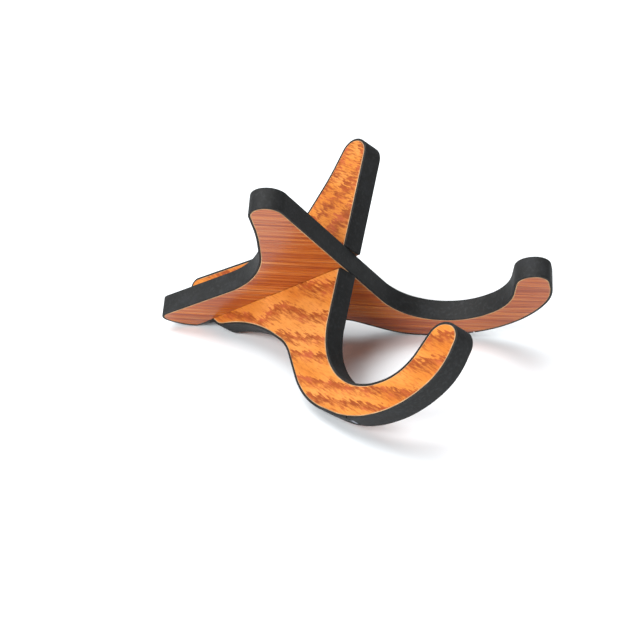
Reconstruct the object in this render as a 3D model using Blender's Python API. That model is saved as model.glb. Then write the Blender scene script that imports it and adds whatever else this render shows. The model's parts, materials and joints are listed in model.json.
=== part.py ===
"""Take-apart stand for a ukulele, a violin or a small guitar.

Two plates sawn to one outline cross at a right angle in a half lap. Each plate is a plywood
core with a veneer on both faces and a foam strip round its edge. The plates lean on each other
like the blades of open scissors: a foot behind, a hooked cradle in front, an arm above.

Metres, +Z up, hooks towards -Y. The origin is under the middle of the stand, on the ground.
In a plate's own frame, x runs along the crossing line towards the front, y across it towards
the arm's tip, z out of the plate's face side, and the origin is the middle of the lap.
"""

import math

import bmesh
import bpy
from mathutils import Matrix, Vector

# The crossing
CROSSING_ANGLE = math.radians(90)
LAP_LENGTH = 0.1306  # the crossing line's length inside a plate, from sole to front edge
SLOT_CLEARANCE = 0.0003  # each side of a slot to the plate in it
STOP_CLEARANCE = 0.0003  # between the two slots' ends when the plates are home

# A plate's layers
PLATE_THICKNESS = 0.015
VENEER_THICKNESS = 0.0006
GLUE_LINE = 0.0003
FOAM_THICKNESS = 0.0015  # with its glue line
FOAM_SEAM = 0.001  # gap between the butt ends of the two strips
FOAM_SEAM_REACH = 0.0231  # where that seam is on the belly, from the cradle's back

# The arm: its front edge leans forwards and takes the instrument's back
ARM_RISE = 0.0928
ARM_LEAN = math.radians(11)
ARM_TIP_WIDTH = 0.0175
ARM_TIP_SLOPE = 0.0066  # how far the tip's front corner is below its rear one
ARM_TIP_REAR_RADIUS = 0.0094
ARM_TIP_FRONT_RADIUS = 0.0118
ARM_WAIST_DROP = 0.0243  # from the tip down to the shallow bend behind the arm
ARM_WAIST_RADIUS = 0.139
ARM_BACK_SLOPE = math.radians(57)
ARM_ROOT_REACH = 0.078  # from the lap's rear end to the bend where the arm grows out of the foot
ARM_ROOT_RISE = 0.0255
ARM_ROOT_RADIUS = 0.0654

# The foot: its sole lies along the ground and crosses the rear end of the lap
SOLE_SLOPE = math.radians(42.5)
SOLE_TOP_RISE = 0.0158
SOLE_TOP_RADIUS = 0.0346
FOOT_RISE = 0.0326
FOOT_OVERHANG = 0.004  # how far the tip stands behind the sole's top
FOOT_TIP_RADIUS = 0.0048
HEEL_DROP = 0.0137
HEEL_RADIUS = 0.0153

# The cradle and its hook, with reaches from the cradle's back
CRADLE_DROP = 0.1015
CRADLE_RADIUS = 0.0465
CRADLE_BACK_DROP = 0.0482
CRADLE_BACK_RADIUS = 0.0425
CRADLE_TOE_REACH = 0.0664  # where its floor turns up
CRADLE_TOE_RADIUS = 0.04
HOOK_REACH = 0.0928
HOOK_RISE = 0.028  # hook's inner corner over the cradle's floor
HOOK_WIDTH = 0.0168
HOOK_TIP_SLOPE = 0.0091
HOOK_INNER_RADIUS = 0.0114
HOOK_OUTER_RADIUS = 0.0093

# The belly below the cradle, and the arch behind it, with reaches from the cradle's back
# and rises from the belly's lowest line
CRADLE_WALL = 0.0195
BELLY_FRONT_REACH = 0.0692
BELLY_REAR_REACH = 0.0275
BELLY_RADIUS = 0.076
HOOK_ROOT_REACH = 0.0969
HOOK_ROOT_RISE = 0.015
HOOK_ROOT_RADIUS = 0.0406
HAUNCH_SETBACK = 0.0167
HAUNCH_RISE = 0.0257
HAUNCH_RADIUS = 0.0605
ARCH_FRONT_SETBACK = 0.0357
ARCH_FRONT_RISE = 0.0717
ARCH_FRONT_RADIUS = 0.034
ARCH_REAR_REACH = 0.0492  # from the lap's rear end
ARCH_REAR_DROP = 0.02
ARCH_REAR_RADIUS = 0.1193

# How finely the round stretches are drawn
LARGEST_TURN = math.radians(7)
LARGEST_CHORD = 0.004
WELD = 1e-6
CUTTER_MARGIN = 0.02

CORE_THICKNESS = PLATE_THICKNESS - 2 * (VENEER_THICKNESS + GLUE_LINE)
# A slot has square walls, so a plate that crosses at a slant needs it wider.
SLANT = (1 + abs(math.cos(CROSSING_ANGLE))) / math.sin(CROSSING_ANGLE)
SLOT_HALF_WIDTH = PLATE_THICKNESS * SLANT / 2 + SLOT_CLEARANCE
LEAN = CROSSING_ANGLE / 2  # each plate's lean from the upright middle plane


# ---- the outline that both plates share ----


def front_edge(y):
    """x of the straight front edge at height y over the crossing line."""
    return LAP_LENGTH / 2 + y * math.tan(ARM_LEAN)


def sole_edge(y):
    """x of the flat sole at height y over the crossing line."""
    return -LAP_LENGTH / 2 - y / math.tan(SOLE_SLOPE)


def foot_corners():
    top_x = sole_edge(SOLE_TOP_RISE)
    return [
        (top_x, SOLE_TOP_RISE, SOLE_TOP_RADIUS),
        (top_x - FOOT_OVERHANG, FOOT_RISE, FOOT_TIP_RADIUS),
    ]


def arm_corners():
    tip_front_y = ARM_RISE - ARM_TIP_SLOPE
    tip_rear_x = front_edge(ARM_RISE) - ARM_TIP_WIDTH
    waist_x = tip_rear_x - ARM_WAIST_DROP / math.tan(ARM_BACK_SLOPE)
    return [
        (sole_edge(0) + ARM_ROOT_REACH, ARM_ROOT_RISE, ARM_ROOT_RADIUS),
        (waist_x, ARM_RISE - ARM_WAIST_DROP, ARM_WAIST_RADIUS),
        (tip_rear_x, ARM_RISE, ARM_TIP_REAR_RADIUS),
        (front_edge(tip_front_y), tip_front_y, ARM_TIP_FRONT_RADIUS),
    ]


def cradle_corners():
    back_x = front_edge(-CRADLE_BACK_DROP)
    return [
        (back_x, -CRADLE_BACK_DROP, CRADLE_BACK_RADIUS),
        (back_x, -CRADLE_DROP, CRADLE_RADIUS),
        (back_x + CRADLE_TOE_REACH, -CRADLE_DROP, CRADLE_TOE_RADIUS),
    ]


def hook_corners():
    inner_x = front_edge(-CRADLE_BACK_DROP) + HOOK_REACH
    inner_y = HOOK_RISE - CRADLE_DROP
    return [
        (inner_x, inner_y, HOOK_INNER_RADIUS),
        (inner_x + HOOK_WIDTH, inner_y - HOOK_TIP_SLOPE, HOOK_OUTER_RADIUS),
    ]


def belly_corners():
    back_x = front_edge(-CRADLE_BACK_DROP)
    lowest = -CRADLE_DROP - CRADLE_WALL
    return [
        (back_x + HOOK_ROOT_REACH, lowest + HOOK_ROOT_RISE, HOOK_ROOT_RADIUS),
        (back_x + BELLY_FRONT_REACH, lowest, BELLY_RADIUS),
        (back_x + BELLY_REAR_REACH, lowest, BELLY_RADIUS),
        (back_x - HAUNCH_SETBACK, lowest + HAUNCH_RISE, HAUNCH_RADIUS),
    ]


def arch_corners():
    back_x = front_edge(-CRADLE_BACK_DROP)
    lowest = -CRADLE_DROP - CRADLE_WALL
    return [
        (back_x - ARCH_FRONT_SETBACK, lowest + ARCH_FRONT_RISE, ARCH_FRONT_RADIUS),
        (sole_edge(0) + ARCH_REAR_REACH, -ARCH_REAR_DROP, ARCH_REAR_RADIUS),
        (sole_edge(-HEEL_DROP), -HEEL_DROP, HEEL_RADIUS),
    ]


def outline_corners():
    """(point, radius) of every corner, clockwise from the foot."""
    corners = foot_corners() + arm_corners() + cradle_corners()
    corners += hook_corners() + belly_corners() + arch_corners()
    return [(Vector((x, y)), radius) for x, y, radius in corners]


def turned_left(v):
    return Vector((-v.y, v.x))


def fillet_tangents(corners):
    """Length of edge that each corner's arc takes on either side, limited by the edges."""
    tangents = []
    for i, (point, radius) in enumerate(corners):
        arriving = (point - corners[i - 1][0]).normalized()
        leaving = (corners[(i + 1) % len(corners)][0] - point).normalized()
        tangents.append(radius * math.tan(arriving.angle(leaving) / 2))
    limited = []
    for i, tangent in enumerate(tangents):
        share = 1.0
        for j in (i - 1, (i + 1) % len(corners)):
            edge = (corners[i][0] - corners[j][0]).length
            share = min(share, edge / (tangent + tangents[j]))
        limited.append(tangent * share)
    return limited


def arc_stations(arriving, leaving, start, tangent):
    """(point, outward normal) along the arc that turns from one direction to the next."""
    turn = arriving.angle_signed(leaving) * -1  # mathutils counts clockwise as positive
    radius = tangent / math.tan(abs(turn) / 2)
    centre = start + turned_left(arriving) * math.copysign(radius, turn)
    steps = math.ceil(max(abs(turn) / LARGEST_TURN, abs(turn) * radius / LARGEST_CHORD))
    stations = []
    for k in range(steps + 1):
        rotation = Matrix.Rotation(turn * k / steps, 2)
        stations.append((centre + rotation @ (start - centre), turned_left(rotation @ arriving)))
    return stations


def with_crossings(stations):
    """Adds a station wherever the outline passes over the crossing line, y = 0."""
    result = []
    for i, (point, normal) in enumerate(stations):
        result.append((point, normal))
        following, following_normal = stations[(i + 1) % len(stations)]
        if point.y * following.y < 0:
            share = point.y / (point.y - following.y)
            across = normal.lerp(following_normal, share).normalized()
            result.append((point.lerp(following, share), across))
    return result


def outline_stations():
    """(point, outward normal) round the whole plate, clockwise from the foot."""
    corners = outline_corners()
    tangents = fillet_tangents(corners)
    stations = []
    for i, (point, _) in enumerate(corners):
        arriving = (point - corners[i - 1][0]).normalized()
        leaving = (corners[(i + 1) % len(corners)][0] - point).normalized()
        start = point - arriving * tangents[i]
        stations += arc_stations(arriving, leaving, start, tangents[i])
    return with_crossings(stations)


def offset(stations, distance):
    return [point + normal * distance for point, normal in stations]


# ---- where the plates stand ----


def rest_tilt(edge):
    """Angle between crossing line and ground at which sole and belly both touch."""
    low, high = 0.0, math.radians(80)
    for _ in range(50):
        tilt = (low + high) / 2
        heights = [(p.x * math.sin(tilt) + p.y * math.cos(LEAN) * math.cos(tilt), p.x) for p in edge]
        sole = min(height for height, x in heights if x < 0)
        belly = min(height for height, x in heights if x > 0)
        if sole > belly:
            low = tilt
        else:
            high = tilt
    return tilt


def plate_rotation(tilt, arm_side):
    """Rotation of a plate whose arm leans to arm_side (+1 is +X) from the middle plane."""
    along = Vector((0, -math.cos(tilt), math.sin(tilt)))
    upright = Vector((0, math.sin(tilt), math.cos(tilt)))
    across = upright * math.cos(LEAN) + Vector((arm_side * math.sin(LEAN), 0, 0))
    return Matrix((along, across, along.cross(across))).transposed()


def stand_point(edge, rotation):
    """Where the middle of the lap goes, so that the stand is centred on the ground."""
    half = PLATE_THICKNESS / 2
    corners = [rotation @ Vector((p.x, p.y, z)) for p in edge for z in (-half, half)]
    rear = max(corner.y for corner in corners)
    front = min(corner.y for corner in corners)
    return Vector((0, -(rear + front) / 2, -min(corner.z for corner in corners)))


# ---- making solids ----


def clear_scene():
    for obj in list(bpy.data.objects):
        bpy.data.objects.remove(obj, do_unlink=True)


def new_collection(name):
    collection = bpy.data.collections.new(name)
    bpy.context.scene.collection.children.link(collection)
    return collection


def flat_mesh(name, points, thickness):
    """A flat closed outline in the xy plane, given a thickness evenly about it."""
    curve = bpy.data.curves.new(name, "CURVE")
    curve.dimensions = "2D"
    curve.fill_mode = "BOTH"
    curve.extrude = thickness / 2
    spline = curve.splines.new("POLY")
    spline.points.add(len(points) - 1)
    for spot, point in zip(spline.points, points):
        spot.co = (point.x, point.y, 0, 1)
    spline.use_cyclic_u = True
    guide = bpy.data.objects.new(name, curve)
    bpy.context.scene.collection.objects.link(guide)
    graph = bpy.context.evaluated_depsgraph_get()
    mesh = bpy.data.meshes.new_from_object(guide.evaluated_get(graph))
    bpy.data.objects.remove(guide)
    bpy.data.curves.remove(curve)
    mesh.name = name
    bm = bmesh.new()
    bm.from_mesh(mesh)
    bmesh.ops.remove_doubles(bm, verts=bm.verts, dist=WELD)
    bmesh.ops.recalc_face_normals(bm, faces=bm.faces)
    bm.to_mesh(mesh)
    bm.free()
    return mesh


def add_piece(name, mesh, plate, collection, material, cutters, z=0.0):
    """An object on its plate's empty, at height z over the plate's middle."""
    piece = bpy.data.objects.new(name, mesh)
    collection.objects.link(piece)
    piece.parent = plate
    piece.location.z = z
    mesh.materials.clear()
    mesh.materials.append(material)
    for cutter in cutters:
        cut = piece.modifiers.new(cutter.name, "BOOLEAN")
        cut.operation = "DIFFERENCE"
        cut.solver = "EXACT"
        cut.object = cutter
    return piece


def add_box_cutter(name, low, high, plate, collection, rotation=0.0, middle=Vector((0, 0, 0))):
    bm = bmesh.new()
    bmesh.ops.create_cube(bm, size=1)
    size = high - low
    bmesh.ops.scale(bm, vec=size, verts=bm.verts)
    bmesh.ops.translate(bm, vec=(low + high) / 2, verts=bm.verts)
    mesh = bpy.data.meshes.new(name)
    bm.to_mesh(mesh)
    bm.free()
    cutter = bpy.data.objects.new(name, mesh)
    collection.objects.link(cutter)
    cutter.parent = plate
    cutter.location = middle
    cutter.rotation_euler.z = rotation
    cutter.hide_render = True
    cutter.display_type = "WIRE"
    return cutter


def surface(name, colour, roughness):
    material = bpy.data.materials.new(name)
    material.use_nodes = True
    shader = material.node_tree.nodes["Principled BSDF"]
    shader.inputs["Base Color"].default_value = (*colour, 1)
    shader.inputs["Roughness"].default_value = roughness
    shader.inputs["Metallic"].default_value = 0.0
    return material


def plywood():
    return surface("birch_plywood", (0.56, 0.39, 0.22), 0.7)


def face_veneer():
    return surface("stained_oak_face_veneer", (0.80, 0.30, 0.08), 0.4)


def back_veneer():
    return surface("stained_oak_back_veneer", (0.62, 0.21, 0.06), 0.4)


def foam():
    return surface("black_eva_foam", (0.018, 0.019, 0.018), 0.85)


# ---- the pieces of a plate ----


def slot_cutter(side, opens_to, plate, cutters):
    """The half-lap slot, from just past the lap's middle out through the edge at x of opens_to."""
    far = opens_to * LAP_LENGTH
    stop = -opens_to * STOP_CLEARANCE / 2
    depth = PLATE_THICKNESS / 2 + CUTTER_MARGIN
    low = Vector((min(far, stop), -SLOT_HALF_WIDTH, -depth))
    high = Vector((max(far, stop), SLOT_HALF_WIDTH, depth))
    return add_box_cutter(f"{side}_slot_cutter", low, high, plate, cutters)


def seam_index(stations):
    """The station on the belly where the two foam strips meet."""
    seam_x = front_edge(-CRADLE_BACK_DROP) + FOAM_SEAM_REACH
    below = [i for i, (point, _) in enumerate(stations) if point.y < -CRADLE_DROP]
    return min(below, key=lambda i: abs(stations[i][0].x - seam_x))


def seam_cutter(side, station, plate, cutters):
    """A thin box across the strips' meeting ends."""
    point, normal = station
    half = Vector((FOAM_SEAM / 2, 2 * FOAM_THICKNESS, PLATE_THICKNESS))
    angle = math.atan2(normal.y, normal.x) - math.pi / 2
    name = f"{side}_seam_cutter"
    return add_box_cutter(name, -half, half, plate, cutters, angle, point.to_3d())


def mouth_index(stations, opens_to):
    """The station on the crossing line where the slot opens."""
    mouths = [i for i, (point, _) in enumerate(stations) if abs(point.y) < WELD]
    return max(mouths, key=lambda i: opens_to * stations[i][0].x)


def strip_points(stations, first, last):
    """Closed outline of the foam from one station round to another, clockwise."""
    count = (last - first) % len(stations)
    stretch = [stations[(first + k) % len(stations)] for k in range(count + 1)]
    return offset(stretch, FOAM_THICKNESS) + offset(stretch, GLUE_LINE)[::-1]


def add_plate(side, opens_to, strip_names, plate, parts, cutters, materials):
    """One plate: side names it, and its slot opens to the front (+1) or through the sole (-1)."""
    stations = outline_stations()
    wood = offset(stations, 0.0)
    slot = slot_cutter(side, opens_to, plate, cutters)
    core = flat_mesh(f"{side}_core", wood, CORE_THICKNESS)
    add_piece(f"{side}_core", core, plate, parts, materials["core"], [slot])
    lift = (PLATE_THICKNESS - VENEER_THICKNESS) / 2
    for which, height in (("face", lift), ("back", -lift)):
        name = f"{side}_{which}_veneer"
        sheet = flat_mesh(name, wood, VENEER_THICKNESS)
        add_piece(name, sheet, plate, parts, materials[which], [slot], height)
    mouth = mouth_index(stations, opens_to)
    seam = seam_index(stations)
    butt = seam_cutter(side, stations[seam], plate, cutters)
    for name, ends in zip(strip_names, ((mouth, seam), (seam, mouth))):
        strip = flat_mesh(name, strip_points(stations, *ends), PLATE_THICKNESS)
        add_piece(name, strip, plate, parts, materials["foam"], [slot, butt])


def main():
    clear_scene()
    parts = new_collection("instrument_stand")
    cutters = new_collection("cutters")
    materials = {"core": plywood(), "face": face_veneer(), "back": back_veneer(), "foam": foam()}
    edge = offset(outline_stations(), FOAM_THICKNESS)
    tilt = rest_tilt(edge)
    place = stand_point(edge, plate_rotation(tilt, 1))
    # The left plate's hook is at -X and its arm at +X.
    for side, arm_side, opens_to, strips in (
        ("left", 1, 1, ("left_cradle_foam", "left_foot_foam")),
        ("right", -1, -1, ("right_cradle_foam", "right_arch_foam")),
    ):
        plate = bpy.data.objects.new(f"{side}_plate", None)
        parts.objects.link(plate)
        plate.matrix_world = Matrix.Translation(place) @ plate_rotation(tilt, arm_side).to_4x4()
        add_plate(side, opens_to, strips, plate, parts, cutters, materials)


main()
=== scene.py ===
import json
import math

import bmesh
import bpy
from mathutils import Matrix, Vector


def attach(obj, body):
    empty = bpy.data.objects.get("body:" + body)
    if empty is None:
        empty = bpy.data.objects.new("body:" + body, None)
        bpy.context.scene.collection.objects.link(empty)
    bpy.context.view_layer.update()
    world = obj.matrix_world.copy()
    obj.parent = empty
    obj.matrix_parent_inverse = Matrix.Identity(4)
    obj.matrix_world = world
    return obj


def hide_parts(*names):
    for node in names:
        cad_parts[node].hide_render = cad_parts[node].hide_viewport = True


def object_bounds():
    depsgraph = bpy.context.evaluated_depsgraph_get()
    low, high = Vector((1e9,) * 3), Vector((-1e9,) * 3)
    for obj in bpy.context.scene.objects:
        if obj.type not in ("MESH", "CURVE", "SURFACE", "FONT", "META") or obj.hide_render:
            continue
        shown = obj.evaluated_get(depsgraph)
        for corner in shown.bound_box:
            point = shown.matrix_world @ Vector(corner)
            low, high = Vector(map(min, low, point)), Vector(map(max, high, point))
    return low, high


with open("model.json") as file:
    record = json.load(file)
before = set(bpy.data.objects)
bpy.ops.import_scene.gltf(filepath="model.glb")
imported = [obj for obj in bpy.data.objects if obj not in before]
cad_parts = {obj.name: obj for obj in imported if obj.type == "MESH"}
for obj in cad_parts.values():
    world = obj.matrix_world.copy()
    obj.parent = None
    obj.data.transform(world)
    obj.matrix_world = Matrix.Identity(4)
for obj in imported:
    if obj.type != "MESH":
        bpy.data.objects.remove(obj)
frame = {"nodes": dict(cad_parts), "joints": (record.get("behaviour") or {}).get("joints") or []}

# Finishes for a take-apart instrument stand: two veneered plywood plates that cross in a half lap,
# each with foam round its edge. Every visible piece is made again here, with a smooth outline and
# worked edges, from the outline of the CAD solid it stands for. Only the dab of cement in each foam
# seam stands for no solid.
# In a plate's own frame, x runs along the crossing line towards the front, y across it towards the
# arm's tip and z out of the plate's face side; the origin is the middle of the lap. Metres.

CAD_LOW, CAD_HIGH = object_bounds()

MM = 0.001
SIDES = ("left", "right")
STRIPS = {"left": ("cradle", "foot"), "right": ("cradle", "arch")}
PLATE_PLACE = "plate_place"  # each vertex's place in its plate's frame, which the wood grain follows

# How the edges are worked
ARRIS = 0.55 * MM  # the veneer's edge is sanded round by this much, through the stain
ARRIS_STEPS = 4
FOAM_EDGE = 0.45 * MM  # the knife-cut edges of the foam have relaxed to this radius
GLUED_EDGE = 0.12 * MM
GLUE_SMEAR = 0.8 * MM  # how far the cement was wiped to either side of a seam
GLUE_PROUD = 0.1 * MM
GLUE_SHORT = 4.8 * MM  # the dab of cement stops this far short of the foam's sides
SUPPORT = 0.3 * MM  # a flat margin that keeps the flat faces shaded flat

# How the outlines are drawn
WELD = 1e-5
STRAIGHT_RUN = 4.3 * MM  # the CAD draws its round stretches with shorter chords than this
SHARP_TURN = math.radians(25)
ROUND_STEP = 1.2 * MM
STRAIGHT_STEP = 6 * MM
SAME_SIDE = 0.99  # cosine within which faces belong to one flat side
NEEDLESS_TURN = math.radians(0.1)
SHARPEST_INSET = 0.5  # keeps an inset corner from running out to a spike
SHADED_SHARP = math.radians(40)
MERGED = 1e-7
FOAMED = 0.6 * MM  # only an edge this close to a foam strip has its arris sanded round
GLUED_SIDE = 0.8 * MM  # foam this close to the board is the side that is glued to it

# The grain lies across each plate from the rear of the arm to the toe of the cradle.
GRAIN_ANGLE = math.radians(-38)
STRAIGHT_GRAIN_ANGLE = math.radians(-42)

# The figured veneer's growth rings, in mm: where their dark rows lie, counted outwards from the
# crown, and where the rings swell: (place along and across the grain), reach, rise.
DARK_ROWS = (-3.0, 3.5, 10.0, 21.0, 36.0, 52.5, 67.0, 79.0, 96.5, 107.5)
SWELLINGS = (((22.0, -0.6), 32.0, 9.0), ((12.2, -28.6), 26.0, -8.0))
CROWN_ACROSS = 90.0  # the crown of the arches, across the grain from the middle of the lap
ARCH_BEND = 0.00432  # how fast the rings fall away from the crown
ARCH_SLOPE = 0.309  # rise of the rings along the grain
RING_WANDER = 9.0
RING_RAGGED = 13.0
FIGURE_LOW = -12.0
FIGURE_HIGH = 128.0
ROW_RISE = 1.5  # a dark row comes up over this, and fades over ROW_FADE
ROW_FADE = 9.5
ROW_GAP = 0.5  # the least that is left before the row that follows

# The plywood, in mm
PLY = 1.47
PLIES_BELOW = 20.5  # keeps the count of plies positive, with a ply in the middle of the board

# Camera
VIEW_AZIMUTH = math.radians(-58.39)
VIEW_ELEVATION = math.radians(25.42)
VIEW_ROLL = math.radians(0.59)
VIEW_DISTANCE = 0.906
LENS = 76.56
SENSOR = 36.0
AIM_FROM_MIDDLE = Vector((-0.0180, -0.0009, -0.0331))  # from the middle of the stand's box
PAPER_HALF = 40.0  # half the paper's side, so that its far edge stays out of low views


# ---- outlines, read from the CAD solids ----


def flat_side(node):
    """Normal of a flat node's largest side."""
    faces = frame["nodes"][node].data.polygons
    largest = max(faces, key=lambda face: face.area).normal.copy()
    side = [face.normal * face.area for face in faces if face.normal.dot(largest) > SAME_SIDE]
    return sum(side, Vector()).normalized()


def middle_along(node, direction):
    reaches = [vertex.co.dot(direction) for vertex in frame["nodes"][node].data.vertices]
    return (min(reaches) + max(reaches)) / 2


def plate_normal(side):
    """Out of the plate's face side."""
    out = flat_side(f"{side}_face_veneer")
    outward = middle_along(f"{side}_face_veneer", out) > middle_along(f"{side}_core", out)
    return out if outward else -out


def line_crossings(side, plate):
    """x of every place where the outline of a plate's core passes over the crossing line."""
    loop = outline(f"{side}_core", plate)
    found = []
    for start, end in zip(loop, loop[1:] + loop[:1]):
        if start.y * end.y < 0:
            found.append(start.lerp(end, start.y / (start.y - end.y)).x)
    return found


def plate_frames():
    """Each plate's own frame, with its origin in the middle of the lap."""
    normals = {side: plate_normal(side) for side in SIDES}
    along = normals["left"].cross(normals["right"]).normalized()
    along *= math.copysign(1, along.dot(Vector(frame["joints"][0]["axis"])))
    planes = Matrix((normals["left"], normals["right"], along))
    reaches = [middle_along(f"{side}_core", normals[side]) for side in SIDES]
    on_line = planes.inverted() @ Vector((*reaches, 0.0))
    plates = {}
    for side in SIDES:
        turn = Matrix((along, normals[side].cross(along), normals[side])).transposed()
        plates[side] = Matrix.Translation(on_line) @ turn.to_4x4()
    rear = min(line_crossings("left", plates["left"]))
    front = max(line_crossings("right", plates["right"]))
    for side in SIDES:
        plates[side] = plates[side] @ Matrix.Translation(((rear + front) / 2, 0, 0))
    return plates


def outline(node, plate):
    """Corners of a flat node's upper face, anticlockwise, as (x, y) in its plate's frame."""
    mesh = frame["nodes"][node].data
    to_plate = plate.inverted()
    spots = [to_plate @ vertex.co for vertex in mesh.vertices]
    top = max(spot.z for spot in spots)
    following, places = {}, {}
    for face in mesh.polygons:
        corners = [spots[index] for index in face.vertices]
        if min(corner.z for corner in corners) < top - WELD:
            continue
        keys = [(round(c.x / WELD), round(c.y / WELD)) for c in corners]
        places.update(zip(keys, (corner.to_2d() for corner in corners)))
        for key, after in zip(keys, keys[1:] + keys[:1]):
            if key in following.get(after, []):
                following[after].remove(key)
            else:
                following.setdefault(key, []).append(after)
    start = next(key for key, after in following.items() if after)
    loop, key = [], start
    while not loop or key != start:
        loop.append(places[key])
        key = following[key][0]
    return without_needless_corners(loop)


def without_needless_corners(loop):
    kept = []
    for i, point in enumerate(loop):
        before = point - (kept[-1] if kept else loop[-1])
        after = loop[(i + 1) % len(loop)] - point
        if before.length > 2 * WELD and after.length > 2 * WELD:
            if before.angle(after) > NEEDLESS_TURN:
                kept.append(point)
    return kept


def smoothed(loop):
    """The outline with its round stretches as true curves. Sharp corners and straight runs stay."""
    runs = [after - point for point, after in zip(loop, loop[1:] + loop[:1])]
    straight = [run.length > STRAIGHT_RUN for run in runs]
    arriving, leaving = [], []
    for i, after in enumerate(runs):
        before = runs[i - 1]
        into, out = before.normalized(), after.normalized()
        if before.angle(after) < SHARP_TURN and not (straight[i - 1] and straight[i]):
            if straight[i - 1]:
                out = into
            elif straight[i]:
                into = out
            else:
                into = out = (into * after.length + out * before.length).normalized()
        arriving.append(into)
        leaving.append(out)
    points = []
    for i, run in enumerate(runs):
        step = STRAIGHT_STEP if straight[i] else ROUND_STEP
        count = math.ceil(run.length / step)
        into = arriving[(i + 1) % len(runs)]
        for k in range(count):
            t = k / count
            point = loop[i] * (2 * t**3 - 3 * t**2 + 1) + (loop[i] + run) * (3 * t**2 - 2 * t**3)
            point += (leaving[i] * (t**3 - 2 * t**2 + t) + into * (t**3 - t**2)) * run.length
            points.append(point)
    return points


def nearest(point, loop):
    """(distance, nearest point) from a point to an outline."""
    best = (math.inf, point)
    for start, end in zip(loop, loop[1:] + loop[:1]):
        run = end - start
        share = min(max((point - start).dot(run) / run.length_squared, 0.0), 1.0)
        spot = start + run * share
        best = min(best, ((point - spot).length, spot), key=lambda found: found[0])
    return best


# ---- solids with worked edges ----


def outward_normals(loop):
    """Outward directions of an anticlockwise outline, lengthened at corners so that an inset stays even."""
    normals = []
    for i, point in enumerate(loop):
        into = (point - loop[i - 1]).normalized()
        out = (loop[(i + 1) % len(loop)] - point).normalized()
        first, second = Vector((into.y, -into.x)), Vector((out.y, -out.x))
        mean = (first + second).normalized()
        normals.append(mean / max(mean.dot(first), SHARPEST_INSET))
    return normals


def rounded(radius, low, high, round_low=True, steps=ARRIS_STEPS):
    """(inset, height, on the rounding) from a piece's lower face to its upper one."""
    section = []
    turns = [math.pi / 2 * k / steps for k in range(steps + 1)]
    if round_low:
        section += [(radius + SUPPORT, low, False)]
        section += [(radius * (1 - math.sin(t)), low + radius * (1 - math.cos(t)), True) for t in turns]
    else:
        section += [(0.0, low, False)]
    section += [(radius * (1 - math.cos(t)), high - radius * (1 - math.sin(t)), True) for t in turns]
    section += [(radius + SUPPORT, high, False)]
    return section


def slab(name, loop, section, plate, materials, share=None):
    """A flat closed piece whose edge follows section. share scales the edge's insets at each point."""
    share = share or [1.0] * len(loop)
    normals = outward_normals(loop)
    count = len(loop)
    bm = bmesh.new()
    rings = []
    for inset, height, _ in section:
        spots = [point - normal * inset * s for point, normal, s in zip(loop, normals, share)]
        rings.append([bm.verts.new((spot.x, spot.y, height)) for spot in spots])
    for row, (lower, upper) in enumerate(zip(rings, rings[1:])):
        worked = section[row][2] and section[row + 1][2]
        for i in range(count):
            j = (i + 1) % count
            face = bm.faces.new((lower[i], lower[j], upper[j], upper[i]))
            face.smooth = True
            face.material_index = min(int(worked), len(materials) - 1)
    caps = [bm.faces.new(rings[-1]), bm.faces.new(list(reversed(rings[0])))]
    bm.normal_update()
    bmesh.ops.triangulate(bm, faces=caps)
    bmesh.ops.remove_doubles(bm, verts=bm.verts, dist=MERGED)
    mesh = bpy.data.meshes.new(name)
    bm.to_mesh(mesh)
    bm.free()
    for material in materials:
        mesh.materials.append(material)
    mesh.set_sharp_from_angle(angle=SHADED_SHARP)
    kept = mesh.attributes.new(PLATE_PLACE, "FLOAT_VECTOR", "POINT")
    for vertex, place in zip(mesh.vertices, kept.data):
        place.vector = vertex.co
    mesh.transform(plate)
    piece = bpy.data.objects.new(name, mesh)
    bpy.context.scene.collection.objects.link(piece)
    return piece


def level(node, plate):
    """(lowest, highest) z of a node in its plate's frame."""
    to_plate = plate.inverted()
    heights = [(to_plate @ vertex.co).z for vertex in frame["nodes"][node].data.vertices]
    return min(heights), max(heights)


# ---- finishes ----


def srgb(code):
    """Linear colour from an sRGB hex code."""
    parts = [int(code[i : i + 2], 16) / 255 for i in (1, 3, 5)]
    return (*[p / 12.92 if p <= 0.04045 else ((p + 0.055) / 1.055) ** 2.4 for p in parts], 1.0)


def add(tree, kind, inputs=(), stops=(), **settings):
    """Adds a node. inputs gives sockets their values, or the sockets they are linked from."""
    made = tree.nodes.new(kind)
    for name, value in settings.items():
        setattr(made, name, value)
    for key, value in dict(inputs).items():
        if isinstance(value, bpy.types.NodeSocket):
            tree.links.new(value, made.inputs[key])
        else:
            made.inputs[key].default_value = value
    for i, (place, value) in enumerate(stops):
        while len(made.color_ramp.elements) <= i:
            made.color_ramp.elements.new(1.0)
        made.color_ramp.elements[i].position = place
        made.color_ramp.elements[i].color = value
    return made


def grey(value):
    return (value, value, value, 1.0)


def new_material(name):
    """An empty material and its principled shader."""
    material = bpy.data.materials.new(name)
    material.use_nodes = True
    tree = material.node_tree
    tree.nodes.clear()
    shader = add(tree, "ShaderNodeBsdfPrincipled")
    add(tree, "ShaderNodeOutputMaterial", {"Surface": shader.outputs[0]})
    return material, tree, shader


def along_grain(tree, shift=(0.0, 0.0, 0.0), angle=GRAIN_ANGLE):
    """Coordinates in millimetres: x along the grain, y across it, z through the sheet."""
    place = add(tree, "ShaderNodeAttribute", attribute_name=PLATE_PLACE).outputs["Vector"]
    turn_and_scale = {0: place, 1: shift, 2: (0, 0, -angle), 3: (1 / MM, 1 / MM, 1 / MM)}
    return add(tree, "ShaderNodeMapping", turn_and_scale).outputs[0]


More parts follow.
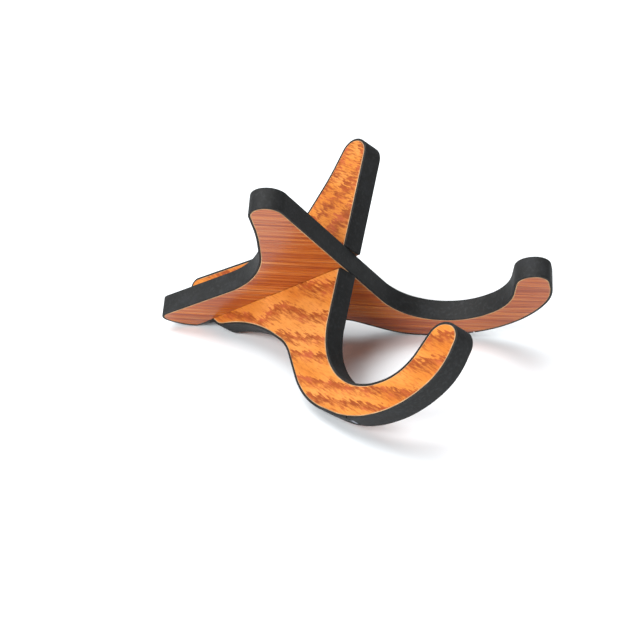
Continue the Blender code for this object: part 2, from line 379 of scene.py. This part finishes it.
def stretched_noise(tree, grain, lengths, **settings):
    """Noise whose features are lengths (along, across, through) millimetres in size."""
    scaled = add(
        tree,
        "ShaderNodeVectorMath",
        {0: grain, 1: tuple(1 / length for length in lengths)},
        operation="MULTIPLY",
    )
    sockets = {"Vector": scaled.outputs[0], "Scale": 1.0, "Detail": 2.0, "Roughness": 0.5}
    sockets.update(settings)
    return add(tree, "ShaderNodeTexNoise", sockets).outputs[0]


def figured_oak():
    """Plain-sliced oak veneer, stained orange and sprayed with satin lacquer.

    The slice grazes the growth rings, so they show as tall arches 6 to 18 mm apart. Each ring is
    a row of open pores that took more stain: short brown dashes along the grain with a ragged edge.
    """
    material, tree, shader = new_material("figured_oak_veneer")
    grain = along_grain(tree)
    wander = stretched_noise(tree, grain, (60, 26, 20), Detail=1.0)
    ragged = stretched_noise(tree, grain, (9, 1.7, 8), Detail=2.5, Roughness=0.6)
    parts = add(tree, "ShaderNodeSeparateXYZ", {0: grain})
    # The arches' crown runs along the grain through the arm.
    crown = add(tree, "ShaderNodeMath", {0: parts.outputs[1], 1: CROWN_ACROSS}, operation="SUBTRACT")
    arch = add(tree, "ShaderNodeMath", {0: crown.outputs[0], 1: 2.0}, operation="POWER")
    slope = add(tree, "ShaderNodeMath", {0: parts.outputs[0], 1: ARCH_SLOPE}, operation="MULTIPLY")
    ring = add(
        tree,
        "ShaderNodeMath",
        {0: arch.outputs[0], 1: ARCH_BEND, 2: slope.outputs[0]},
        operation="MULTIPLY_ADD",
    ).outputs[0]
    for spot, reach, rise in SWELLINGS:
        away = add(
            tree, "ShaderNodeVectorMath", {0: grain, 1: (*spot, 0.0)}, operation="DISTANCE"
        ).outputs["Value"]
        swelling = add(
            tree,
            "ShaderNodeMapRange",
            {0: away, 1: 0.0, 2: reach, 3: rise, 4: 0.0},
            interpolation_type="SMOOTHSTEP",
        )
        ring = add(tree, "ShaderNodeMath", {0: ring, 1: swelling.outputs[0]}).outputs[0]
    wandered = add(
        tree, "ShaderNodeMath", {0: wander, 1: RING_WANDER, 2: ring}, operation="MULTIPLY_ADD"
    )
    frayed = add(
        tree,
        "ShaderNodeMath",
        {0: ragged, 1: RING_RAGGED, 2: wandered.outputs[0]},
        operation="MULTIPLY_ADD",
    )
    added = (RING_WANDER + RING_RAGGED) / 2  # by the two noises, on average
    centred = add(
        tree,
        "ShaderNodeMapRange",
        {0: frayed.outputs[0], 1: added + FIGURE_LOW, 2: added + FIGURE_HIGH},
    )
    stops = []
    for row, following in zip(DARK_ROWS, (*DARK_ROWS[1:], math.inf)):
        faded = min(row + ROW_FADE, following - ROW_GAP)
        stops += [(row, 0.0), (row + ROW_RISE, 1.0), (faded, 0.0)]
    span = FIGURE_HIGH - FIGURE_LOW
    pores = add(
        tree,
        "ShaderNodeValToRGB",
        {0: centred.outputs[0]},
        stops=[((place - FIGURE_LOW) / span, grey(dark)) for place, dark in stops],
    )
    dashes = stretched_noise(tree, grain, (7, 0.95, 5), Detail=3.0, Roughness=0.62)
    dash = add(
        tree, "ShaderNodeValToRGB", {0: dashes}, stops=((0.3, grey(0.0)), (0.7, grey(1.0)))
    )
    both = add(tree, "ShaderNodeMath", {0: pores.outputs[0], 1: dash.outputs[0]})
    figure = add(tree, "ShaderNodeMapRange", {0: both.outputs[0], 1: 0.55, 2: 1.42})
    tone = stretched_noise(tree, grain, (45, 18, 20), Detail=3.0)
    ground = add(
        tree,
        "ShaderNodeValToRGB",
        {0: tone},
        stops=((0.35, srgb("#B96A25")), (0.5, srgb("#C67B33")), (0.66, srgb("#D28843"))),
    )
    flush = stretched_noise(tree, grain, (16, 6, 9), Detail=2.0)
    stain = add(
        tree,
        "ShaderNodeValToRGB",
        {0: flush},
        stops=((0.4, srgb("#853A0B")), (0.54, srgb("#944313")), (0.66, srgb("#A54C29"))),
    )
    fleck = stretched_noise(tree, grain, (5, 0.7, 4), Detail=1.0)
    flecks = add(
        tree, "ShaderNodeValToRGB", {0: fleck}, stops=((0.5, grey(0.0)), (0.72, grey(0.28)))
    )
    share = add(
        tree,
        "ShaderNodeMath",
        {0: figure.outputs[0], 1: flecks.outputs[0]},
        operation="ADD",
        use_clamp=True,
    )
    colour = add(
        tree,
        "ShaderNodeMix",
        {0: share.outputs[0], 6: ground.outputs[0], 7: stain.outputs[0]},
        data_type="RGBA",
    )
    bump = add(
        tree, "ShaderNodeBump", {"Height": share.outputs[0], "Strength": 0.25, "Distance": 0.00012}
    )
    bump.invert = True
    gloss = add(
        tree,
        "ShaderNodeMapRange",
        {0: figure.outputs[0], 1: 0.0, 2: 1.0, 3: 0.28, 4: 0.42},
    )
    tree.links.new(colour.outputs[2], shader.inputs["Base Color"])
    tree.links.new(gloss.outputs[0], shader.inputs["Roughness"])
    tree.links.new(bump.outputs[0], shader.inputs["Normal"])
    shader.inputs["IOR"].default_value = 1.5
    shader.inputs["Coat Weight"].default_value = 0.1
    shader.inputs["Coat Roughness"].default_value = 0.2
    return material


def straight_oak(name, shift, early, middle, late):
    """Rift-cut oak veneer, stained and sprayed with satin lacquer.

    The slice crosses the growth rings steeply, so the eye sees close straight lines along the
    grain, a few of them pale, and no arches.
    """
    material, tree, shader = new_material(name)
    grain = along_grain(tree, shift, STRAIGHT_GRAIN_ANGLE)
    wander = stretched_noise(tree, grain, (90, 40, 30), Detail=1.0)
    sway = add(
        tree,
        "ShaderNodeCombineXYZ",
        {1: add(tree, "ShaderNodeMath", {0: wander, 1: 5.0}, operation="MULTIPLY").outputs[0]},
    )
    swayed = add(tree, "ShaderNodeVectorMath", {0: grain, 1: sway.outputs[0]}, operation="ADD").outputs[0]
    rings = stretched_noise(tree, swayed, (170, 3.4, 30), Detail=3.0, Roughness=0.62)
    lines = stretched_noise(tree, swayed, (60, 1.0, 12), Detail=2.0, Roughness=0.5)
    both = add(
        tree,
        "ShaderNodeMix",
        {0: 0.5, 2: rings, 3: lines},
        data_type="FLOAT",
    )
    ground = add(
        tree,
        "ShaderNodeValToRGB",
        {0: both.outputs[0]},
        stops=((0.4, srgb(late)), (0.5, srgb(middle)), (0.6, srgb(early))),
    )
    pore = stretched_noise(tree, swayed, (11, 0.7, 4), Detail=1.5)
    pores = add(tree, "ShaderNodeValToRGB", {0: pore}, stops=((0.52, grey(0.0)), (0.7, grey(0.35))))
    dark = add(
        tree,
        "ShaderNodeMix",
        {0: pores.outputs[0], 6: ground.outputs[0], 7: srgb(late)},
        data_type="RGBA",
    )
    pale = stretched_noise(tree, swayed, (75, 1.3, 16), Detail=1.0)
    pale_lines = add(
        tree, "ShaderNodeValToRGB", {0: pale}, stops=((0.6, grey(0.0)), (0.74, grey(0.7)))
    )
    colour = add(
        tree,
        "ShaderNodeMix",
        {0: pale_lines.outputs[0], 6: dark.outputs[2], 7: srgb("#C98A50")},
        data_type="RGBA",
    )
    bump = add(
        tree, "ShaderNodeBump", {"Height": both.outputs[0], "Strength": 0.2, "Distance": 0.00015}
    )
    gloss = add(tree, "ShaderNodeMapRange", {0: both.outputs[0], 1: 0.3, 2: 0.7, 3: 0.34, 4: 0.24})
    tree.links.new(colour.outputs[2], shader.inputs["Base Color"])
    tree.links.new(gloss.outputs[0], shader.inputs["Roughness"])
    tree.links.new(bump.outputs[0], shader.inputs["Normal"])
    shader.inputs["IOR"].default_value = 1.5
    shader.inputs["Coat Weight"].default_value = 0.1
    shader.inputs["Coat Roughness"].default_value = 0.2
    return material


def bare_edge():
    """The veneer's edge where sanding went through the stain: pale, dry wood, lightly browned."""
    material, tree, shader = new_material("sanded_veneer_edge")
    grain = along_grain(tree)
    patch = stretched_noise(tree, grain, (7, 5, 5), Detail=3.0)
    colour = add(
        tree,
        "ShaderNodeValToRGB",
        {0: patch},
        stops=((0.35, srgb("#927050")), (0.5, srgb("#AF8A60")), (0.65, srgb("#C29B72"))),
    )
    tree.links.new(colour.outputs[0], shader.inputs["Base Color"])
    rough = add(tree, "ShaderNodeMapRange", {0: patch, 1: 0.3, 2: 0.7, 3: 0.55, 4: 0.75})
    tree.links.new(rough.outputs[0], shader.inputs["Roughness"])
    return material


def birch_plywood():
    """Sawn birch plywood, its cut sides stained dark brown so that no pale wood shows in the lap.

    The plies are about 1.5 mm thick with thin glue lines, and every other one shows end grain,
    which took more stain.
    """
    material, tree, shader = new_material("stained_birch_plywood")
    grain = along_grain(tree)
    parts = add(tree, "ShaderNodeSeparateXYZ", {0: grain})
    ply = add(tree, "ShaderNodeMath", {0: parts.outputs[2], 1: 1 / PLY}, operation="MULTIPLY")
    shifted = add(tree, "ShaderNodeMath", {0: ply.outputs[0], 1: PLIES_BELOW}, operation="ADD")
    within = add(tree, "ShaderNodeMath", {0: shifted.outputs[0]}, operation="FRACT")
    glue = add(
        tree,
        "ShaderNodeValToRGB",
        {0: within.outputs[0]},
        stops=((0.0, grey(1.0)), (0.12, grey(0.0)), (0.9, grey(0.0)), (1.0, grey(1.0))),
    )
    pairs = add(tree, "ShaderNodeMath", {0: shifted.outputs[0], 1: 2.0}, operation="MODULO")
    end_grain = add(tree, "ShaderNodeMath", {0: pairs.outputs[0], 1: 1.0}, operation="GREATER_THAN")
    fibre = stretched_noise(tree, grain, (6, 0.5, 0.4), Detail=3.0)
    side = add(
        tree,
        "ShaderNodeValToRGB",
        {0: fibre},
        stops=((0.3, srgb("#4A2F1B")), (0.7, srgb("#634226"))),
    )
    end = add(
        tree,
        "ShaderNodeValToRGB",
        {0: fibre},
        stops=((0.3, srgb("#2E1B0E")), (0.7, srgb("#45291A"))),
    )
    wood = add(
        tree,
        "ShaderNodeMix",
        {0: end_grain.outputs[0], 6: side.outputs[0], 7: end.outputs[0]},
        data_type="RGBA",
    )
    colour = add(
        tree,
        "ShaderNodeMix",
        {0: glue.outputs[0], 6: wood.outputs[2], 7: srgb("#1F140C")},
        data_type="RGBA",
    )
    bump = add(tree, "ShaderNodeBump", {"Height": fibre, "Strength": 0.4, "Distance": 0.0002})
    tree.links.new(colour.outputs[2], shader.inputs["Base Color"])
    tree.links.new(bump.outputs[0], shader.inputs["Normal"])
    rough = add(tree, "ShaderNodeMapRange", {0: fibre, 1: 0.3, 2: 0.7, 3: 0.65, 4: 0.85})
    tree.links.new(rough.outputs[0], shader.inputs["Roughness"])
    return material


def eva_foam():
    """Black closed-cell EVA foam, cut from sheet: matt, very dark, with a soft bloom where light grazes it.

    Its cells are 0.2 to 0.4 mm, too fine to show, so they are drawn 0.8 mm across.
    """
    material, tree, shader = new_material("black_eva_foam")
    grain = along_grain(tree, angle=0.0)
    cells = add(tree, "ShaderNodeTexVoronoi", {"Vector": grain, "Scale": 1 / 0.8}, feature="F1")
    handled = stretched_noise(tree, grain, (14, 10, 9), Detail=4.0, Roughness=0.6)
    # Paler grey specks, about 2 mm across, mixed at random into the foam's colour: painted speck
    # highlights.
    speck_highlight = stretched_noise(tree, grain, (2.2, 2.2, 2.2), Detail=2.0)
    tint = add(
        tree,
        "ShaderNodeValToRGB",
        {0: handled},
        stops=((0.34, srgb("#131415")), (0.5, srgb("#181919")), (0.68, srgb("#212224"))),
    )
    speck_highlights = add(
        tree, "ShaderNodeValToRGB", {0: speck_highlight}, stops=((0.5, grey(0.0)), (0.75, grey(0.4)))
    )
    colour = add(
        tree,
        "ShaderNodeMix",
        {0: speck_highlights.outputs[0], 6: tint.outputs[0], 7: srgb("#333537")},
        data_type="RGBA",
    )
    bump = add(
        tree,
        "ShaderNodeBump",
        {"Height": cells.outputs[0], "Strength": 0.35, "Distance": 0.0002},
    )
    tree.links.new(colour.outputs[2], shader.inputs["Base Color"])
    tree.links.new(bump.outputs[0], shader.inputs["Normal"])
    rough = add(tree, "ShaderNodeMapRange", {0: handled, 1: 0.3, 2: 0.7, 3: 0.62, 4: 0.8})
    tree.links.new(rough.outputs[0], shader.inputs["Roughness"])
    shader.inputs["IOR"].default_value = 1.48
    shader.inputs["Specular IOR Level"].default_value = 0.34
    return material


def dried_cement():
    """Contact cement that dried cloudy grey, smooth where it was wiped and rough where it dragged."""
    material, tree, shader = new_material("dried_contact_cement")
    grain = along_grain(tree, angle=0.0)
    cloud = stretched_noise(tree, grain, (1.2, 1.2, 2.5), Detail=3.0)
    colour = add(
        tree,
        "ShaderNodeValToRGB",
        {0: cloud},
        stops=((0.35, srgb("#5A5E68")), (0.5, srgb("#7E828E")), (0.65, srgb("#A0A4AE"))),
    )
    bump = add(tree, "ShaderNodeBump", {"Height": cloud, "Strength": 0.4, "Distance": 0.0002})
    rough = add(tree, "ShaderNodeMapRange", {0: cloud, 1: 0.3, 2: 0.7, 3: 0.35, 4: 0.6})
    tree.links.new(colour.outputs[0], shader.inputs["Base Color"])
    tree.links.new(bump.outputs[0], shader.inputs["Normal"])
    tree.links.new(rough.outputs[0], shader.inputs["Roughness"])
    return material


# ---- the pieces of a plate ----


def finish_piece(piece, side, node):
    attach(piece, f"{side}_plate")
    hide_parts(node)


def add_board(side, plate, finishes):
    """The plywood core, with its two veneers."""
    core = f"{side}_core"
    low, high = level(core, plate)
    loop = smoothed(outline(core, plate))
    strips = [outline(f"{side}_{name}_foam", plate) for name in STRIPS[side]]
    worked = [float(min(nearest(p, strip)[0] for strip in strips) < FOAMED) for p in loop]
    straight = [(0.0, low, False), (0.0, high, False)]
    board = slab(f"{side}_plywood_board", loop, straight, plate, [finishes["plywood"]])
    finish_piece(board, side, core)
    for part, sign in (("face", 1), ("back", -1)):
        node = f"{side}_{part}_veneer"
        outer = max(abs(z) for z in level(node, plate))
        section = rounded(ARRIS, high, outer, round_low=False)
        if sign < 0:
            section = [(inset, -height, on) for inset, height, on in reversed(section)]
        coats = [finishes[f"{side}_{part}"], finishes["edge"]]
        veneer = slab(f"{side}_{part}_oak", loop, section, plate, coats, worked)
        finish_piece(veneer, side, node)
    return loop


def add_strip(side, name, plate, board, finishes):
    """A foam strip, its inner side drawn onto the board's edge."""
    node = f"{side}_{name}_foam"
    low, high = level(node, plate)
    loop = smoothed(outline(node, plate))
    points, share = [], []
    for point in loop:
        distance, spot = nearest(point, board)
        inner = distance < GLUED_SIDE
        points.append(spot if inner else point)
        share.append(GLUED_EDGE / FOAM_EDGE if inner else 1.0)
    section = rounded(FOAM_EDGE, low, high)
    strip = slab(f"{side}_{name}_foam_strip", points, section, plate, [finishes["foam"]], share)
    finish_piece(strip, side, node)


def add_seam(side, plate, finishes):
    """A dab of dried cement in the middle of the butt seam between a plate's two strips."""
    first, second = (outline(f"{side}_{name}_foam", plate) for name in STRIPS[side])
    pairs = sorted(((p - q).length, i, p, q) for i, p in enumerate(first) for q in second)
    ends = [(p, q) for _, _, p, q in pairs[:2]]
    board = outline(f"{side}_core", plate)
    (near, near_other), (far, far_other) = sorted(ends, key=lambda pair: nearest(pair[0], board)[0])
    along = (near_other - near).normalized()
    out = (far - near).normalized()
    loop = [
        near,
        near_other,
        far_other - out * GLUE_PROUD,
        far_other - out * GLUE_PROUD + along * GLUE_SMEAR,
        far_other + out * GLUE_PROUD + along * GLUE_SMEAR,
        far + out * GLUE_PROUD - along * GLUE_SMEAR,
        far - out * GLUE_PROUD - along * GLUE_SMEAR,
        far - out * GLUE_PROUD,
    ]
    if along.cross(out) < 0:
        loop.reverse()
    low, high = level(f"{side}_{STRIPS[side][0]}_foam", plate)
    section = rounded(GLUE_PROUD / 2, low + GLUE_SHORT, high - GLUE_SHORT)
    seam = slab(f"{side}_seam_cement", loop, section, plate, [finishes["cement"]])
    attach(seam, f"{side}_plate")


def finishes_of_stand():
    return {
        "cement": dried_cement(),
        "plywood": birch_plywood(),
        "edge": bare_edge(),
        "foam": eva_foam(),
        "left_face": figured_oak(),
        # The rift-cut veneers' colours are set darker than the figured face's, partly as painted shade: the
        # right face looks down, away from the key light, so its stain colours were darkened to stand for
        # its shade. The two backs share these colours.
        "right_face": straight_oak("straight_oak_veneer", (0, 0, 0), "#B56629", "#A04A12", "#7E2F06"),
        "left_back": straight_oak("left_back_oak", (40, 70, 9), "#B56629", "#A04A12", "#7E2F06"),
        "right_back": straight_oak("right_back_oak", (-60, 35, 17), "#B56629", "#A04A12", "#7E2F06"),
    }


def add_stand():
    plates = plate_frames()
    finishes = finishes_of_stand()
    for side in SIDES:
        board = add_board(side, plates[side], finishes)
        for name in STRIPS[side]:
            add_strip(side, name, plates[side], board, finishes)
        add_seam(side, plates[side], finishes)


# ---- stage, lights and camera ----


def add_floor():
    """Plain pale paper under the stand."""
    bm = bmesh.new()
    bmesh.ops.create_grid(bm, x_segments=4, y_segments=4, size=PAPER_HALF)
    mesh = bpy.data.meshes.new("floor")
    bm.to_mesh(mesh)
    bm.free()
    material, _, shader = new_material("pale_paper")
    shader.inputs["Base Color"].default_value = srgb("#F5F9FC")
    shader.inputs["Roughness"].default_value = 0.9
    mesh.materials.append(material)
    floor = bpy.data.objects.new("floor", mesh)
    floor.location.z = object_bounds()[0].z
    bpy.context.scene.collection.objects.link(floor)


def add_soft_light(name, direction, strength, spread):
    """A broad soft light, far enough away to light all the paper evenly."""
    lamp = bpy.data.lights.new(name, "SUN")
    lamp.angle = math.radians(spread)
    lamp.energy = strength
    holder = bpy.data.objects.new(name, lamp)
    bpy.context.scene.collection.objects.link(holder)
    holder.rotation_euler = Vector(direction).to_track_quat("Z", "Y").to_euler()


def add_lights():
    world = bpy.data.worlds.new("studio")
    world.use_nodes = True
    backdrop = world.node_tree.nodes["Background"]
    backdrop.inputs["Color"].default_value = srgb("#FFFFFF")
    backdrop.inputs["Strength"].default_value = 0.18
    bpy.context.scene.world = world
    add_soft_light("key", (-0.92, 0.08, 0.52), 3.55, 34)
    add_soft_light("top", (0.0, 0.35, 0.94), 2.9, 60)


def add_camera():
    lens = bpy.data.cameras.new("camera")
    lens.sensor_width = SENSOR
    lens.lens = LENS
    lens.clip_start = 0.01
    camera = bpy.data.objects.new("camera", lens)
    bpy.context.scene.collection.objects.link(camera)
    flat = math.cos(VIEW_ELEVATION)
    back = Vector((math.sin(VIEW_AZIMUTH) * flat, -math.cos(VIEW_AZIMUTH) * flat, math.sin(VIEW_ELEVATION)))
    aim = (CAD_LOW + CAD_HIGH) / 2 + AIM_FROM_MIDDLE
    upright = (-back).to_track_quat("-Z", "Y").to_matrix().to_4x4()
    level_camera = Matrix.Translation(aim + back * VIEW_DISTANCE) @ upright
    camera.matrix_world = level_camera @ Matrix.Rotation(VIEW_ROLL, 4, "Z")
    bpy.context.scene.camera = camera


def main():
    scene = bpy.context.scene
    scene.view_settings.view_transform = "Standard"
    add_camera()
    add_stand()
    add_floor()
    add_lights()


main()
